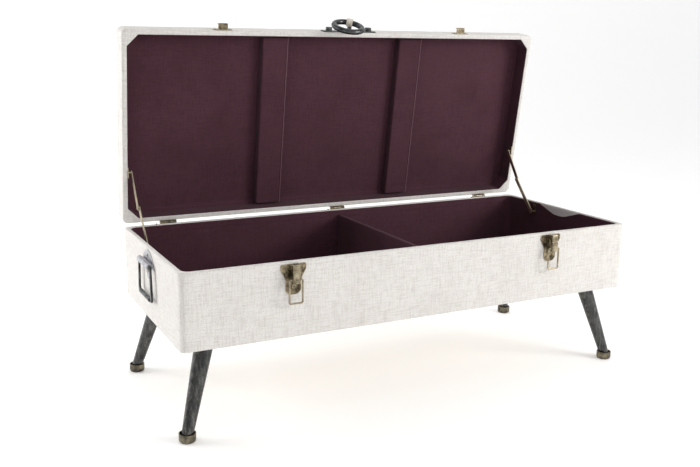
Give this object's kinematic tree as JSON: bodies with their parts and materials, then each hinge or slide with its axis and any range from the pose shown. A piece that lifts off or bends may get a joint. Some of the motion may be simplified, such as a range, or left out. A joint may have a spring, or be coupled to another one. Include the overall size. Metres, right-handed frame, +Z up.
{
  "type": "storage bench",
  "caption": "Linen-covered storage bench on splayed round legs, with a padded lid hinged at the back, lined compartments, drawbolt latches, a ring pull and drop handles.",
  "frame": {"origin": "centre of the bounding box of the open bench, on the floor", "axes": "+X along the bench to its right end, +Y to the back where the lid is hinged, +Z up"},
  "size_m": [1.234, 0.577, 0.8935],
  "materials": {
    "linen": "slubby natural linen, matt",
    "lining": "dark plum woven lining, matt",
    "board": "plain sawn board",
    "foam": "soft foam",
    "leg_metal": "gunmetal with rubbed brassy streaks",
    "foot_metal": "aged, bright worn rim",
    "dark_metal": "dark bronze, worn edges",
    "grey_metal": "polished gunmetal",
    "collar": "cream",
    "stay_brass": "satin brass",
    "old_brass": "antique brass"
  },
  "bodies": {
    "root": {"box_back_panel": "board", "box_base_panel": "board", "box_corner_posts": "board", "box_cover": "linen", "box_floor_lining": "lining", "box_front_panel": "board", "box_left_panel": "board", "box_right_panel": "board", "box_screws": "old_brass", "box_wall_lining": "lining", "divider_board": "board", "divider_cover": "lining", "feet": "foot_metal", "hinge_box_leaves": "old_brass", "hinge_pins": "old_brass", "latch_pins": "old_brass", "latch_plate_left": "old_brass", "latch_plate_right": "old_brass", "latch_rivets": "old_brass", "leg_back_left": "leg_metal", "leg_back_right": "leg_metal", "leg_front_left": "leg_metal", "leg_front_right": "leg_metal", "leg_plate_screws": "dark_metal", "leg_plates": "dark_metal", "rim_studs": "dark_metal", "side_handle_plate_left": "grey_metal", "side_handle_plate_right": "grey_metal", "stay_box_brackets": "stay_brass"},
    "lid": {"hinge_lid_leaves": "old_brass", "latch_catch_left": "old_brass", "latch_catch_right": "old_brass", "lid_back_rail": "board", "lid_batten_left": "lining", "lid_batten_right": "lining", "lid_corner_blocks": "board", "lid_cover": "linen", "lid_foam_pad": "foam", "lid_front_rail": "board", "lid_left_rail": "board", "lid_panel_lining": "lining", "lid_right_rail": "board", "lid_screws": "old_brass", "lid_top_board": "board", "lid_wall_lining": "lining", "ring_collar": "collar", "ring_plate": "dark_metal", "ring_plate_bolts": "dark_metal", "stay_lid_brackets": "stay_brass"},
    "ring": {"ring_pull": "dark_metal"},
    "latch_lever_left": {"latch_lever_left": "old_brass"},
    "latch_loop_left": {"latch_loop_left": "old_brass"},
    "side_handle_left": {"side_handle_bail_left": "dark_metal"},
    "stay_lower_left": {"stay_lower_arm_left": "stay_brass"},
    "stay_upper_left": {"stay_upper_arm_left": "stay_brass"},
    "latch_lever_right": {"latch_lever_right": "old_brass"},
    "latch_loop_right": {"latch_loop_right": "old_brass"},
    "side_handle_right": {"side_handle_bail_right": "dark_metal"},
    "stay_lower_right": {"stay_lower_arm_right": "stay_brass"},
    "stay_upper_right": {"stay_upper_arm_right": "stay_brass"}
  },
  "joints": [
    {"name": "lid_hinge", "type": "hinge", "parent": "root", "child": "lid", "pos_m": [0, 0.2162, 0.3775], "axis": [1, 0, 0], "range_deg": [0, 82]},
    {"name": "ring_fold", "type": "hinge", "parent": "lid", "child": "ring", "pos_m": [0, 0.15899, 0.88154], "axis": [0.848, -0.4947, -0.1899], "range_deg": [-165, 0]},
    {"name": "latch_lever_left_pivot", "type": "hinge", "parent": "root", "child": "latch_lever_left", "pos_m": [-0.35, -0.2768, 0.366], "axis": [-1, 0, 0], "range_deg": [0, 30]},
    {"name": "latch_loop_left_swing", "type": "hinge", "parent": "latch_lever_left", "child": "latch_loop_left", "pos_m": [-0.35, -0.2833, 0.339], "axis": [-1, 0, 0], "range_deg": [0, 165]},
    {"name": "side_handle_left_swing", "type": "hinge", "parent": "root", "child": "side_handle_left", "pos_m": [-0.6095, -0.0273, 0.342], "axis": [0, 1, 0], "range_deg": [0, 100]},
    {"name": "stay_lower_left_pivot", "type": "hinge", "parent": "root", "child": "stay_lower_left", "pos_m": [-0.5737, 0.0763, 0.347], "axis": [1, 0, 0], "range_deg": [-19.25, 0]},
    {"name": "stay_upper_left_pivot", "type": "hinge", "parent": "lid", "child": "stay_upper_left", "pos_m": [-0.577, 0.2049, 0.5124], "axis": [1, 0, 0], "range_deg": [0, 53.26]},
    {"name": "latch_lever_right_pivot", "type": "hinge", "parent": "root", "child": "latch_lever_right", "pos_m": [0.35, -0.2768, 0.366], "axis": [-1, 0, 0], "range_deg": [0, 30]},
    {"name": "latch_loop_right_swing", "type": "hinge", "parent": "latch_lever_right", "child": "latch_loop_right", "pos_m": [0.35, -0.2833, 0.339], "axis": [-1, 0, 0], "range_deg": [0, 165]},
    {"name": "side_handle_right_swing", "type": "hinge", "parent": "root", "child": "side_handle_right", "pos_m": [0.6095, -0.0273, 0.342], "axis": [0, -1, 0], "range_deg": [0, 100]},
    {"name": "stay_lower_right_pivot", "type": "hinge", "parent": "root", "child": "stay_lower_right", "pos_m": [0.5737, 0.0763, 0.347], "axis": [1, 0, 0], "range_deg": [-19.25, 0]},
    {"name": "stay_upper_right_pivot", "type": "hinge", "parent": "lid", "child": "stay_upper_right", "pos_m": [0.577, 0.2049, 0.5124], "axis": [1, 0, 0], "range_deg": [0, 53.26]}
  ],
  "couplings": [
    {"joint": "stay_lower_left_pivot", "follows": "lid_hinge", "ratio": -0.22867},
    {"joint": "stay_upper_left_pivot", "follows": "lid_hinge", "ratio": 0.64338},
    {"joint": "stay_lower_right_pivot", "follows": "lid_hinge", "ratio": -0.22867},
    {"joint": "stay_upper_right_pivot", "follows": "lid_hinge", "ratio": 0.64338}
  ]
}
